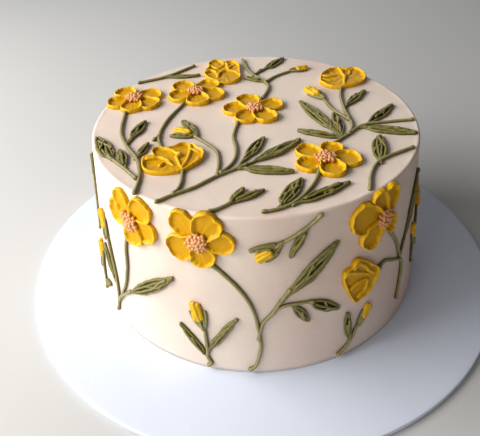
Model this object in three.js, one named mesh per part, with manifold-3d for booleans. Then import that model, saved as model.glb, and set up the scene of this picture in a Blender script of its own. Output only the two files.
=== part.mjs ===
// A round buttercream cake on a thin white board, with yellow flowers, buds, leaves and stems piped on its top and wall.
// Millimetres, +Z up. The origin is the middle of the board's underside, and -Y is the front.
import * as THREE from 'three';
import { mergeVertices } from 'three/addons/utils/BufferGeometryUtils.js';
import Module from 'manifold-3d';

// Driving dimensions
const BOARD_RADIUS = 152.5;
const BOARD_THICKNESS = 3;
const BOARD_EDGE_BREAK = 0.5;
const CAKE_RADIUS = 100;
const FOOT_RADIUS = 104.5; // the wall leans out a little on its way down
const CAKE_HEIGHT = 105;
const TOP_EDGE_ROUND = 1.5;
const CAKE_OFFSET = new THREE.Vector2(-2.8, 4.5); // the cake was set down a little off the board's middle
const CAKE_FACETS = 80;
const GAP = 0.3; // between pieces that lie on each other
const WALL_GAP = 0.6; // under flat faces on the round wall

const STEM_WIDTH = 2.3;
const STEM_SIDES = 5;
const STEM_STEP = 10; // length of one straight stretch of a stem
const STEM_CLEAR = 1.7; // from a stem's end to a petal's edge

const LEAF_CREST = 2.5; // the two lobes of a leaf
const LEAF_GROOVE = 1.5; // the line between them
const LEAF_STATIONS = [0.1, 0.36, 0.64, 0.88];

const FLOWER_LIFT = 0.6; // the flat underside of a petal bridges the round wall by this much
const PETAL_FLOOR = 1.4;
const PETAL_RIM = 3.1;
const PETAL_SIDE_RIM = 2.6;
const PETAL_VALLEY = 1.3;
const PETAL_NOTCH = 0.66; // reach of the flower between two petals, as a share of the shorter one
const PETAL_ROUNDNESS = 0.42;
const PETAL_RAYS = [0, 0.08, 0.27, 0.5, 0.73, 0.92]; // across one petal, from one valley to the next
const MIDDLE_RADIUS = 5.6;
const MIDDLE_HEIGHT = 1.2; // low, so that the cluster of dots sits in it

const CENTRE_RADIUS = 4.9;
const CENTRE_HEIGHT = 4.9;
const CENTRE_LIFT = MIDDLE_HEIGHT + 0.4;
const CENTRE_RAYS = 12;

const BUD_WIDTH = 5.4;
const BUD_HEIGHT = 3.6;
const CUP_SHARE = 0.5; // of a bud's length that its green cup takes
const CUP_WIDTH = 6;

const COLOURS = {
  board: { color: 0xf2f3f5, roughness: 0.45, metalness: 0 },
  icing: { color: 0xe9d6c6, roughness: 0.6, metalness: 0 },
  petal: { color: 0xe0a010, roughness: 0.5, metalness: 0 },
  centre: { color: 0xd18a52, roughness: 0.6, metalness: 0 },
  green: { color: 0x5d6230, roughness: 0.55, metalness: 0 },
};

// Where things lie. Places are millimetres on the cake's skin: across and away from the front on the top,
// and round the wall from the front and up from its foot on the side. A petal is [direction in degrees, length].
const FLOWERS = [
  { name: 'top_1', face: 'top', at: [-80, 30], petals: [[125, 18.5], [27, 19], [-34, 19.5], [-90, 18.5], [-151, 18]] },
  { name: 'top_2', face: 'top', at: [-39.5, 39], petals: [[138, 19.5], [50, 20], [-20, 20], [-80, 19.5], [-149, 19]] },
  { name: 'top_3', face: 'top', at: [0, 13], petals: [[177, 20], [109, 19.5], [26, 20], [-57, 19.5], [-118, 19.5]] },
  { name: 'top_4', face: 'top', at: [-22, 69], budding: true, petals: [[192, 15.5], [120, 23], [71, 19.5], [-10, 13.5], [-88, 16.5]] },
  { name: 'top_5', face: 'top', at: [-46.5, -47.5], budding: true, petals: [[133, 17.5], [66, 19], [12, 17.5], [-98, 13.5], [-158, 18]] },
  { name: 'top_6', face: 'top', at: [62, 53.5], budding: true, petals: [[166, 17], [114, 20.5], [62, 20.5], [17, 16], [-100, 12]] },
  { name: 'top_7', face: 'top', at: [39, -47.5], petals: [[140, 18.5], [66, 17.5], [-2, 20], [-75, 18], [-150, 18]] },
  { name: 'side_1', face: 'side', at: [-72.5, 86.5], petals: [[174, 19], [126, 19.5], [50, 20], [-12, 18], [-80, 15]] },
  { name: 'side_2', face: 'side', at: [-30, 89], petals: [[131, 20], [62, 19], [4, 19.5], [-75, 15.5], [-150, 18.5]] },
  { name: 'side_3', face: 'side', at: [72.5, 86.5], petals: [[157, 22], [104, 19], [60, 20], [-45, 13.5], [-138, 19]] },
  { name: 'side_4', face: 'side', at: [57, 51], budding: true, petals: [[158, 13], [100, 15], [10, 12], [-92, 15], [-140, 12]] },
  { name: 'side_5', face: 'side', at: [158, 57], petals: [[180, 20.5], [108, 14], [36, 17], [-36, 16], [-108, 14]] },
  { name: 'side_6', face: 'side', at: [199, 76], petals: [[150, 19], [80, 18], [8, 19], [-64, 18], [-136, 18]] },
  { name: 'side_7', face: 'side', at: [264, 84], petals: [[128, 18], [52, 18], [-16, 19], [-84, 17], [-160, 18]] },
  { name: 'side_8', face: 'side', at: [-228.5, 79], budding: true, petals: [[168, 16], [118, 19], [66, 19], [14, 16], [-90, 10]] },
];

// A stem is the places it runs through, a leaf is [base, tip, width] and a bud is [foot, tip].
const SPRAYS = [
  { name: 'top_a', face: 'top',
    stems: [[[-63.5, -78], [-63, -63], [-67, -45], [-76.5, -27.5], [-81.5, -11.5], [-83, 16]], [[-65, -64], [-73.5, -53], [-83.5, -42]]],
    leaves: [[[-75.5, -28], [-68.5, -0.5], 6.5], [[-68, -45], [-63, -28], 5], [[-81.5, -44], [-94.5, -19], 9.5], [[-72.5, -54.5], [-78.5, -35], 5.5]] },
  { name: 'top_b', face: 'top',
    stems: [[[-54, -35], [-57.5, -19.5], [-54.5, 0.5], [-46.5, 22.5]], [[-57.5, -19.5], [-60, -23.5]]], leaves: [] },
  { name: 'top_c', face: 'top',
    stems: [[[-51, -86], [-43, -80], [-32, -73], [-21, -63], [-5, -52]], [[-43, -79.5], [-40, -71], [-40, -54.5]],
      [[-21, -62.5], [-20.5, -49.5], [-22.5, -37], [-29.5, -27.5], [-35.5, -21]],
      [[-19, -60.5], [-12.5, -49], [-11, -36], [-13, -20], [-10, -0.5]]],
    leaves: [[[-10, -55], [5, -23], 7], [[-7, -53], [27, -25], 7.5], [[-9.5, -55], [20.5, -60], 7.5]],
    bud: [[-33, -22.5], [-49, -11]] },
  { name: 'top_d', face: 'top',
    stems: [[[5.5, 29.5], [9.5, 44], [7, 54], [-3, 70], [-8.5, 92]], [[7.5, 53], [16, 63.5], [28, 72]], [[-0.5, 64.5], [4.5, 72.5]]],
    leaves: [[[3.5, 71], [21.5, 93.5], 7], [[6.5, 54], [-4.5, 59.5], 5]],
    bud: [[26, 71], [38.5, 76]] },
  { name: 'top_e', face: 'top', stems: [[[-80.5, 55.5], [-62, 65], [-44, 82.5]]], leaves: [[[-63, 64], [-39, 66], 5]] },
  { name: 'top_f', face: 'top',
    stems: [[[59.5, 48], [56.5, 28.5], [57, 9.5], [59, -7], [56, -18.5], [45, -31]], [[58, -2.5], [49.5, 11.5], [44.5, 28]],
      [[55.5, -20], [61, -13.5], [69.5, -8], [96.5, -3.5]]],
    leaves: [[[57, 13], [73, 37], 6.5], [[52, -23], [29.5, 23], 8], [[51.5, -24], [25.5, -15], 6], [[52.5, -23], [49.5, 5.5], 6.5],
      [[66, -10], [88.5, 17], 7.5], [[62.5, -11], [96, -20], 8]],
    bud: [[45, 26.5], [34.5, 42]] },
  { name: 'top_g', face: 'top', stems: [[[59, -77], [62, -63], [67.5, -51.5], [76.5, -44], [90, -36]]],
    leaves: [[[68.5, -52], [73, -22.5], 8.5]] },
  { name: 'top_h', face: 'top', stems: [[[35, -55], [32, -68], [26, -79.5], [18, -89], [10.5, -93.5], [3.5, -95.5]]],
    leaves: [[[11, -93.5], [24.5, -66.5], 8], [[18, -90.5], [49.5, -70], 7.5]] },
  { name: 'top_i', face: 'top', stems: [[[-23.5, -95], [-17.5, -91.5], [-12.5, -87]]],
    leaves: [[[-13.5, -88.3], [4, -76.5], 5], [[-13.5, -88.5], [-6.5, -75.5], 4.5]] },
  { name: 'side_a', face: 'side',
    stems: [[[-77.5, 74], [-80, 64], [-80.5, 51], [-83.5, 36], [-89.5, 23], [-94.5, 14]],
      [[-103.5, 59], [-99, 46], [-95.5, 33], [-94.5, 19], [-96.5, 6]], [[-91.5, 19], [-85.5, 26], [-79.5, 32]]],
    leaves: [[[-95.5, 28], [-111.5, 46], 5], [[-82.5, 29], [-45.5, 59.5], 8.5]],
    bud: [[-103.5, 57], [-111, 73]] },
  { name: 'side_b', face: 'side',
    stems: [[[-22.5, 75], [-14.5, 67], [-6.5, 56], [-1.5, 43], [1, 26], [1, 16], [-1.5, 6], [-4.5, 3]],
      [[0.5, 26], [2.5, 37], [7.5, 44], [11.5, 51], [16.5, 59]], [[7.5, 44], [10.5, 47], [17, 49], [29, 48.5]]],
    leaves: [[[13.5, 55], [42.5, 84.5], 9], [[27, 48.7], [44, 38.5], 7], [[18, 49], [26.5, 35.5], 6]] },
  { name: 'side_c', face: 'side', stems: [[[-27, 3], [-25.5, 5], [-27.5, 9], [-27.5, 15], [-29, 33]]],
    leaves: [[[-27, 8], [-42.5, 28.5], 5], [[-27.5, 12], [-11, 40], 5]],
    bud: [[-29, 30.5], [-34.5, 48]] },
  { name: 'side_d', face: 'side', stems: [[[32.5, 103.5], [26, 98], [19, 93.5], [10, 88.5]]],
    leaves: [[[26, 98], [17, 81], 5]],
    bud: [[11, 89], [-1, 79.5]] },
  { name: 'side_e', face: 'side',
    stems: [[[80, 73.5], [87.5, 62], [93.5, 47.5], [97, 37], [93, 15.5]], [[69, 50.5], [76, 54.5], [84, 50.5], [94, 44.5]]],
    leaves: [[[93.5, 47], [119, 92], 6.5]] },
  { name: 'side_f', face: 'side', stems: [[[45, 3], [50.5, 7.5], [53.5, 11.5], [58.5, 21.5]]],
    leaves: [[[52.5, 10], [50, 31.5], 5]],
    bud: [[58, 20], [66.5, 32.5]] },
  { name: 'side_g', face: 'side', stems: [[[150, 52], [140, 52], [131, 51], [124, 47], [121, 41], [118, 35], [119, 24]]],
    leaves: [], bud: [[119.5, 38.5], [115.5, 56]] },
  { name: 'side_h', face: 'side', stems: [[[-141, 90], [-140, 66], [-141, 36]]], leaves: [[[-140.5, 76], [-140, 93], 4.5]] },
  { name: 'side_i', face: 'side', stems: [[[-123.5, 21], [-122, 13], [-120, 4]]], leaves: [[[-121, 9], [-107, 17], 5]],
    bud: [[-123.5, 20], [-125.5, 38]] },
  { name: 'side_j', face: 'side', stems: [[[158, 3], [159, 15], [156, 29]]],
    leaves: [[[159, 9], [171, 23], 5.5], [[159, 12], [146, 26], 5.5], [[156.3, 26], [154, 38], 5]] },
  { name: 'side_k', face: 'side',
    stems: [[[202, 3], [199, 25.5], [195, 45.5], [197, 69]], [[199, 23.5], [211, 39.5], [222.5, 49.5]]],
    leaves: [[[196.5, 35], [175.5, 49.5], 7.5], [[209, 37.5], [216, 63], 7], [[200, 9], [220.5, 17], 7], [[220.5, 48], [234.5, 61], 7]] },
  { name: 'side_l', face: 'side',
    stems: [[[251, 3], [257, 27.5], [266, 51.5], [265, 79]], [[257, 27.5], [246.5, 43.5], [243.5, 59]]],
    leaves: [[[244, 54], [237.5, 81], 7.5], [[261, 39.5], [284.5, 56], 8], [[253, 14], [272, 23.5], 7], [[248.5, 40.5], [232.5, 45.5], 6]] },
  { name: 'side_m', face: 'side',
    stems: [[[-258, 3], [-252, 25.5], [-239.5, 49.5], [-229.5, 75]], [[-252, 23.5], [-268, 41.5], [-273, 57]]],
    leaves: [[[-272, 52.5], [-282, 79], 7.5], [[-248.5, 33.5], [-224.5, 43.5], 7.5], [[-254.5, 11], [-278, 21.5], 7]] },
  { name: 'side_n', face: 'side', stems: [[[-179.5, 3], [-175.5, 29.5], [-179.5, 57], [-174.5, 83]]],
    leaves: [[[-176.5, 21.5], [-155.5, 41.5], 8], [[-176.5, 37.5], [-196, 56], 7.5], [[-180, 55.5], [-160.5, 75], 7], [[-175.5, 79], [-172.5, 100.5], 6]] },
];

const wasm = await Module();
wasm.setup();

// A repeatable run of numbers from 0 to 1, for the unevenness of hand piping.
function runOfChance(seed) {
  let state = seed * 7919 + 13;
  return () => {
    state = (state * 16807) % 2147483647;
    return state / 2147483647;
  };
}

// A place on the cake's skin, h millimetres out of it, as a point in the cake's own frame.
function onSkin(face, u, v, h) {
  if (face === 'top') return new THREE.Vector3(u, v, CAKE_HEIGHT + h);
  const reach = CAKE_RADIUS + (FOOT_RADIUS - CAKE_RADIUS) * (1 - v / CAKE_HEIGHT) + h;
  const turn = u / CAKE_RADIUS;
  return new THREE.Vector3(reach * Math.sin(turn), -reach * Math.cos(turn), v);
}

function geometryOf(points, faces) {
  const geometry = new THREE.BufferGeometry().setFromPoints(points);
  geometry.setIndex(faces.flat());
  geometry.computeVertexNormals();
  return geometry;
}

// A closed body: rings of [u, v, h] round a middle, each ring wider than the last, over one flat base.
function moundOnSkin(face, middle, rings, baseLift) {
  const count = rings[0].length;
  const points = [onSkin(face, ...middle)];
  rings.forEach((ring) => ring.forEach((place) => points.push(onSkin(face, ...place))));
  const base = points.push(onSkin(face, middle[0], middle[1], baseLift)) - 1;
  const faces = [];
  for (let j = 0; j < count; j++) {
    const next = (j + 1) % count;
    faces.push([0, 1 + j, 1 + next]);
    for (let k = 0; k + 1 < rings.length; k++) {
      const inner = 1 + k * count;
      const outer = inner + count;
      faces.push([inner + j, outer + j, outer + next], [inner + j, outer + next, inner + next]);
    }
    const edge = 1 + (rings.length - 1) * count;
    faces.push([base, edge + next, edge + j]);
  }
  return geometryOf(points, faces);
}

const radians = THREE.MathUtils.degToRad;

// A flower's rays, petal by petal: the direction of each, the outline's reach there and how far across its petal it is.
function raysOf(flower) {
  const chance = runOfChance(flower.at[0] + 400 + flower.at[1]);
  const petals = [...flower.petals].sort((a, b) => a[0] - b[0]).map(([direction, length]) => (
    { direction, length, rim: PETAL_RIM + 0.8 * (chance() - 0.5) }));
  const rays = [];
  petals.forEach((petal, k) => {
    const before = petals[(k + petals.length - 1) % petals.length];
    const after = petals[(k + 1) % petals.length];
    const start = petal.direction - ((petal.direction - before.direction + 360) % 360) / 2;
    const end = petal.direction + ((after.direction - petal.direction + 360) % 360) / 2;
    const notches = [before, after].map((other) => PETAL_NOTCH * Math.min(petal.length, other.length));
    for (const across of PETAL_RAYS) {
      const swell = Math.sin(Math.PI * across) ** PETAL_ROUNDNESS;
      const notch = THREE.MathUtils.lerp(notches[0], notches[1], across);
      rays.push({ direction: start + (end - start) * across, reach: notch + (petal.length - notch) * swell, across, rim: petal.rim });
    }
  });
  return rays;
}

// Petals with raised rims round a low middle. Between two petals the flower dips to a valley.
function flowerGeometry(flower) {
  const [u, v] = flower.at;
  const rays = raysOf(flower);
  const ringAt = (reachOf, heightOf) => rays.map((ray) => {
    const reach = reachOf(ray);
    const turn = radians(ray.direction);
    return [u + reach * Math.cos(turn), v + reach * Math.sin(turn), heightOf(ray)];
  });
  const edgewise = (ray, inPetal, besideValley) => {
    if (ray.across === 0) return PETAL_VALLEY;
    return ray.across < 0.1 || ray.across > 0.9 ? besideValley : inPetal;
  };
  const middleHeight = flower.budding ? PETAL_FLOOR : MIDDLE_HEIGHT;
  const rings = [
    ringAt((ray) => Math.min(MIDDLE_RADIUS, 0.62 * ray.reach), () => middleHeight),
    ringAt((ray) => 0.72 * ray.reach, (ray) => edgewise(ray, PETAL_FLOOR, PETAL_SIDE_RIM)),
    ringAt((ray) => 0.88 * ray.reach, (ray) => edgewise(ray, ray.rim, PETAL_SIDE_RIM)),
    ringAt((ray) => ray.reach, () => FLOWER_LIFT),
  ];
  return moundOnSkin(flower.face, [u, v, middleHeight], rings, FLOWER_LIFT);
}

// The cluster of small piped dots in an open flower: a dome with two rounds of knobs.
function centreGeometry(flower) {
  const [u, v] = flower.at;
  const ring = (share, low, high, offset) => Array.from({ length: CENTRE_RAYS }, (_, j) => {
    const turn = (2 * Math.PI * (j + offset)) / CENTRE_RAYS;
    const reach = share * CENTRE_RADIUS;
    return [u + reach * Math.cos(turn), v + reach * Math.sin(turn), j % 2 ? low : high];
  });
  const rings = [ring(0.45, CENTRE_HEIGHT - 0.9, CENTRE_HEIGHT, 0), ring(0.85, CENTRE_HEIGHT - 1.5, CENTRE_HEIGHT - 0.7, 0),
    ring(1, CENTRE_LIFT, CENTRE_LIFT, 0)];
  return moundOnSkin(flower.face, [u, v, CENTRE_HEIGHT - 0.5], rings, CENTRE_LIFT);
}

// A leaf lying on the skin: two lobes with a groove between them, pointed at both ends.
function leafGeometry(face, [base, tip, width]) {
  const [du, dv] = [tip[0] - base[0], tip[1] - base[1]];
  const length = Math.hypot(du, dv);
  const place = (along, across, h) => [
    base[0] + du * along - (dv / length) * across, base[1] + dv * along + (du / length) * across, h];
  const chance = runOfChance(base[0] + tip[1] + 500);
  const rest = face === 'top' ? GAP : WALL_GAP;
  const points = [onSkin(face, ...place(0, 0, 1.2)), onSkin(face, ...place(1, 0, 1.3))];
  const faces = [];
  const COLUMNS = 5;
  LEAF_STATIONS.forEach((along, i) => {
    const half = (width / 2) * Math.sin(Math.PI * along ** 0.85) ** 0.7;
    const wave = 0.5 * (chance() - 0.5);
    const crest = rest + (LEAF_CREST - rest) * (0.45 + (0.55 * half * 2) / width) + wave;
    const row = [[-1, rest], [-0.5, crest], [0, LEAF_GROOVE + wave], [0.5, crest], [1, rest]];
    row.forEach(([side, h]) => points.push(onSkin(face, ...place(along, -side * half, h))));
    if (i === 0) return;
    const here = 2 + COLUMNS * i;
    const last = here - COLUMNS;
    for (let c = 0; c + 1 < COLUMNS; c++) faces.push([last + c, here + c + 1, here + c], [last + c, last + c + 1, here + c + 1]);
    faces.push([last, here, here + COLUMNS - 1], [last, here + COLUMNS - 1, last + COLUMNS - 1]);
  });
  const first = 2;
  const final = 2 + COLUMNS * (LEAF_STATIONS.length - 1);
  for (let c = 0; c + 1 < COLUMNS; c++) faces.push([0, first + c + 1, first + c], [1, final + c, final + c + 1]);
  faces.push([0, first, first + COLUMNS - 1], [1, final + COLUMNS - 1, final]);
  return geometryOf(points, faces);
}

// A smooth line on the skin through a few places, its ends pulled back where they would run under a flower.
class LineOnSkin extends THREE.Curve {
  constructor(face, places, lift) {
    super();
    this.face = face;
    this.flat = new THREE.CatmullRomCurve3(places.map(([u, v]) => new THREE.Vector3(u, v, lift)), false, 'centripetal');
    this.span = [0, 1];
    const free = Array.from({ length: 101 }, (_, i) => i / 100).filter((t) => isClearOfFlowers(face, this.flat.getPointAt(t)));
    this.span = [free[0], free[free.length - 1]];
  }
  getPoint(t) {
    const place = this.flat.getPointAt(THREE.MathUtils.lerp(this.span[0], this.span[1], t));
    return onSkin(this.face, place.x, place.y, place.z);
  }
}

function isClearOfFlowers(face, place) {
  return FLOWERS.filter((flower) => flower.face === face).every((flower) => {
    const away = [place.x - flower.at[0], place.y - flower.at[1]];
    const distance = Math.hypot(...away);
    const direction = THREE.MathUtils.radToDeg(Math.atan2(away[1], away[0]));
    const near = flowerRays.get(flower).filter((ray) => Math.abs(((ray.direction - direction + 540) % 360) - 180) < 25);
    return distance > Math.max(...near.map((ray) => ray.reach)) + STEM_CLEAR;
  });
}

const flowerRays = new Map(FLOWERS.map((flower) => [flower, raysOf(flower)]));

function stemGeometry(face, places) {
  const line = new LineOnSkin(face, places, GAP + STEM_WIDTH / 2);
  const section = new THREE.Shape(Array.from({ length: STEM_SIDES }, (_, i) => {
    const turn = (2 * Math.PI * i) / STEM_SIDES;
    return new THREE.Vector2((STEM_WIDTH / 2) * Math.cos(turn), (STEM_WIDTH / 2) * Math.sin(turn));
  }));
  const steps = Math.max(2, Math.round(line.getLength() / STEM_STEP));
  return new THREE.ExtrudeGeometry(section, { steps, bevelEnabled: false, extrudePath: line });
}

// The yellow tip of a bud: an egg lying along the bud's line, beyond its cup.
function budGeometry(face, [foot, tip]) {
  const [du, dv] = [tip[0] - foot[0], tip[1] - foot[1]];
  const length = Math.hypot(du, dv);
  const from = CUP_SHARE + 0.5 / length;
  const egg = new THREE.SphereGeometry(1, 7, 6);
  const corners = egg.getAttribute('position');
  const corner = new THREE.Vector3();
  for (let i = 0; i < corners.count; i++) {
    corner.fromBufferAttribute(corners, i);
    const along = THREE.MathUtils.lerp(from, 1, (corner.y + 1) / 2);
    const across = (corner.x * BUD_WIDTH) / 2;
    const place = onSkin(face, foot[0] + du * along + (dv / length) * across, foot[1] + dv * along - (du / length) * across,
      GAP + (BUD_HEIGHT * (corner.z + 1)) / 2 + 0.1);
    corners.setXYZ(i, place.x, place.y, place.z);
  }
  return egg;
}

function cupOf([foot, tip]) {
  const end = [0, 1].map((i) => THREE.MathUtils.lerp(foot[i], tip[i], CUP_SHARE));
  return [foot, end, CUP_WIDTH];
}

function solidOf(geometry) {
  const bare = geometry.clone();
  bare.deleteAttribute('normal');
  bare.deleteAttribute('uv');
  const merged = mergeVertices(bare, 1e-4);
  return new wasm.Manifold(new wasm.Mesh({
    numProp: 3, vertProperties: merged.getAttribute('position').array, triVerts: new Uint32Array(merged.index.array) }));
}

// The stems, leaves and bud cup of one spray, joined into one body.
function sprayGeometry(spray) {
  const leaves = spray.bud ? [...spray.leaves, cupOf(spray.bud)] : spray.leaves;
  const pieces = [...spray.stems.map((places) => stemGeometry(spray.face, places)),
    ...leaves.map((leaf) => leafGeometry(spray.face, leaf))];
  const joined = pieces.map(solidOf).reduce((whole, piece) => whole.add(piece)).getMesh();
  const geometry = new THREE.BufferGeometry();
  geometry.setAttribute('position', new THREE.BufferAttribute(joined.vertProperties, 3));
  geometry.setIndex(new THREE.BufferAttribute(joined.triVerts, 1));
  geometry.computeVertexNormals();
  return geometry;
}

function turnedGeometry(profile) {
  const geometry = new THREE.LatheGeometry(profile.map(([r, z]) => new THREE.Vector2(r, z)), CAKE_FACETS);
  return geometry.rotateX(Math.PI / 2);
}

function boardGeometry() {
  const [r, t, b] = [BOARD_RADIUS, BOARD_THICKNESS, BOARD_EDGE_BREAK];
  return turnedGeometry([[0, 0], [r - b, 0], [r, b], [r, t - b], [r - b, t], [0, t]]);
}

function cakeGeometry() {
  const inset = TOP_EDGE_ROUND * (1 - Math.SQRT1_2);
  return turnedGeometry([[0, 0], [FOOT_RADIUS, 0], [CAKE_RADIUS, CAKE_HEIGHT - TOP_EDGE_ROUND],
    [CAKE_RADIUS - inset, CAKE_HEIGHT - inset], [CAKE_RADIUS - TOP_EDGE_ROUND, CAKE_HEIGHT], [0, CAKE_HEIGHT]]);
}

function piece(name, geometry, finish) {
  const mesh = new THREE.Mesh(geometry, new THREE.MeshStandardMaterial(COLOURS[finish]));
  mesh.name = name;
  return mesh;
}

const decoratedCake = new THREE.Group();
decoratedCake.position.set(CAKE_OFFSET.x, CAKE_OFFSET.y, BOARD_THICKNESS + GAP);
decoratedCake.add(piece('cake', cakeGeometry(), 'icing'));
for (const flower of FLOWERS) {
  decoratedCake.add(piece(`flower_${flower.name}`, flowerGeometry(flower), 'petal'));
  if (!flower.budding) decoratedCake.add(piece(`centre_${flower.name}`, centreGeometry(flower), 'centre'));
}
for (const spray of SPRAYS) {
  decoratedCake.add(piece(`spray_${spray.name}`, sprayGeometry(spray), 'green'));
  if (spray.bud) decoratedCake.add(piece(`bud_${spray.name}`, budGeometry(spray.face, spray.bud), 'petal'));
}

const cakeOnBoard = new THREE.Group();
cakeOnBoard.add(piece('board', boardGeometry(), 'board'), decoratedCake);

export default cakeOnBoard;
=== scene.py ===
"""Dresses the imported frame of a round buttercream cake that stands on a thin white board.

The cake is iced smooth, and yellow flowers, buds, leaves and stems are piped on its top and its wall.
Places on the icing are given in millimetres: across and away from the front on the top, and round the
wall from the front and up from its foot on the wall, with the height out of the icing third.
"""

import logging
import math
from dataclasses import dataclass, field
from enum import Enum
from typing import Sequence

import bpy
import numpy as np
from mathutils import Matrix, Vector, noise


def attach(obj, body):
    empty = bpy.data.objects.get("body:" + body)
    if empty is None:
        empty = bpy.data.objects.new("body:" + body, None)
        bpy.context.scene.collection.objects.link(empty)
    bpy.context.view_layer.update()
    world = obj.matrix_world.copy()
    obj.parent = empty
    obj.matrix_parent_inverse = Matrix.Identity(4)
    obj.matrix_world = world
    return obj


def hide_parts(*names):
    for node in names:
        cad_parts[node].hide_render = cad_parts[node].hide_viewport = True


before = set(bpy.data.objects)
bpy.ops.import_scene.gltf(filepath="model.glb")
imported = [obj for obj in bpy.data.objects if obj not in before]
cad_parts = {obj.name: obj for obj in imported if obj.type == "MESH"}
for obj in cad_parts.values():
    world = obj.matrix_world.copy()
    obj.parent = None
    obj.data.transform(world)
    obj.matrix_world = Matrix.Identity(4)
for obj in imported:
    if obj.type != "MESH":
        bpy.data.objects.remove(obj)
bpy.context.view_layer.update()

LOG = logging.getLogger("cake")
MM = 0.001
UNDER = -0.35
HIDDEN_MARGIN = 0.35
FLOWER_REACH = 45
DOT_COUNT = 36
DOT_SPREAD = 5.4
GOLDEN_TURN = 2.39996
SENSOR_WIDTH = 36
Spot = tuple[float, float]
Colour = tuple[float, float, float]


class Face(Enum):
    """The two sides of the cake that carry piping."""

    TOP = "top"
    WALL = "side"


class Socket:
    """A shader socket that can be added to, multiplied and mixed like a number."""

    def __init__(self, graph: "Graph", link: bpy.types.NodeSocket) -> None:
        """Keeps the graph that the socket belongs to and the socket itself."""
        self.graph = graph
        self.link = link

    def _math(self, operation: str, left: "Socket | float", right: "Socket | float") -> "Socket":
        """Makes a Math node of two values and returns its result."""
        return self.graph.node("ShaderNodeMath", {"operation": operation}, {0: left, 1: right})

    def __add__(self, other: "Socket | float") -> "Socket":
        """Returns self + other."""
        return self._math("ADD", self, other)

    __radd__ = __add__

    def __mul__(self, other: "Socket | float") -> "Socket":
        """Returns self * other."""
        return self._math("MULTIPLY", self, other)

    __rmul__ = __mul__

    def __sub__(self, other: "Socket | float") -> "Socket":
        """Returns self - other."""
        return self._math("SUBTRACT", self, other)

    def __rsub__(self, other: "Socket | float") -> "Socket":
        """Returns other - self."""
        return self._math("SUBTRACT", other, self)


class Graph:
    """The node tree of one finish."""

    def __init__(self, name: str) -> None:
        """Starts an empty material.

        Args:
            name: The material's name.
        """
        self.material = bpy.data.materials.new(name)
        self.material.use_nodes = True
        self.tree = self.material.node_tree
        self.tree.nodes.clear()

    def node(self, kind: str, settings: dict | None = None, inputs: dict | None = None,
             output: int | str = 0) -> Socket:
        """Adds any node.

        Args:
            kind: The node's type.
            settings: Its own options, set before its sockets. stops are a ramp's (place, colour) pairs.
            inputs: Values or links by socket name or number.
            output: Which of its outputs to return.

        Returns:
            The output, ready for more maths.
        """
        node = self.tree.nodes.new(kind)
        for key, value in (settings or {}).items():
            if key == "stops":
                self._set_stops(node.color_ramp, value)
            else:
                setattr(node, key, value)
        for key, value in (inputs or {}).items():
            if isinstance(value, Socket):
                self.tree.links.new(value.link, node.inputs[key])
            else:
                node.inputs[key].default_value = value
        return Socket(self, node.outputs[output])

    @staticmethod
    def _set_stops(ramp: bpy.types.ColorRamp, stops: Sequence[tuple[float, float]]) -> None:
        """Sets a grey ramp's stops from (place, value) pairs."""
        while len(ramp.elements) < len(stops):
            ramp.elements.new(0.5)
        for element, (place, value) in zip(ramp.elements, stops):
            element.position = place
            element.color = (value, value, value, 1)

    def place(self, stretch: Sequence[float] = (1, 1, 1)) -> Socket:
        """Returns object coordinates, stretched along each axis."""
        raw = self.node("ShaderNodeTexCoord", output="Object")
        return self.node("ShaderNodeMapping", None, {"Vector": raw, "Scale": tuple(stretch)})

    def speckle(self, scale: float, detail: float = 3.0, roughness: float = 0.55,
                vector: Socket | None = None) -> Socket:
        """Returns a noise between 0 and 1 whose grain is 1/scale metres."""
        return self.node("ShaderNodeTexNoise", None,
                         {"Vector": vector or self.place(), "Scale": scale, "Detail": detail,
                                                      "Roughness": roughness})

    def ramp(self, value: Socket, low: float, high: float) -> Socket:
        """Returns 0 below low, 1 above high and a smooth step between."""
        return self.node("ShaderNodeMapRange", {"interpolation_type": "SMOOTHSTEP"},
                         {"Value": value, "From Min": low, "From Max": high})

    def mix(self, share: Socket, first: "Socket | Colour", second: "Socket | Colour") -> Socket:
        """Returns a colour between two colours."""
        colours = {6: first, 7: second}
        inputs = {key: value if isinstance(value, Socket) else (*value, 1) for key, value in colours.items()}
        return self.node("ShaderNodeMix", {"data_type": "RGBA"}, {0: share, **inputs}, output=2)

    def grain(self, height: Socket, depth: float, below: Socket | None = None) -> Socket:
        """Returns a bumped normal whose bumps reach depth metres, over another if one is given."""
        inputs = {"Height": height, "Strength": 1.0, "Distance": depth}
        if below is not None:
            inputs["Normal"] = below
        return self.node("ShaderNodeBump", None, inputs)

    def relief(self) -> Socket:
        """Returns how far up its own rounded line or rim a point is, from 0 to 1, which places the painted shade and
        painted highlight.
        """
        return self.node("ShaderNodeAttribute", {"attribute_name": "relief"}, output="Fac")

    def finish(self, **sockets: "Socket | float | tuple") -> bpy.types.Material:
        """Closes the tree with a Principled shader.

        Args:
            **sockets: The shader's sockets, their spaces written as underscores.

        Returns:
            The finished material.
        """
        inputs = {key.replace("_", " "): value for key, value in sockets.items()}
        shader = self.node("ShaderNodeBsdfPrincipled", None, inputs)
        out = self.tree.nodes.new("ShaderNodeOutputMaterial")
        self.tree.links.new(shader.link, out.inputs["Surface"])
        return self.material


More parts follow.
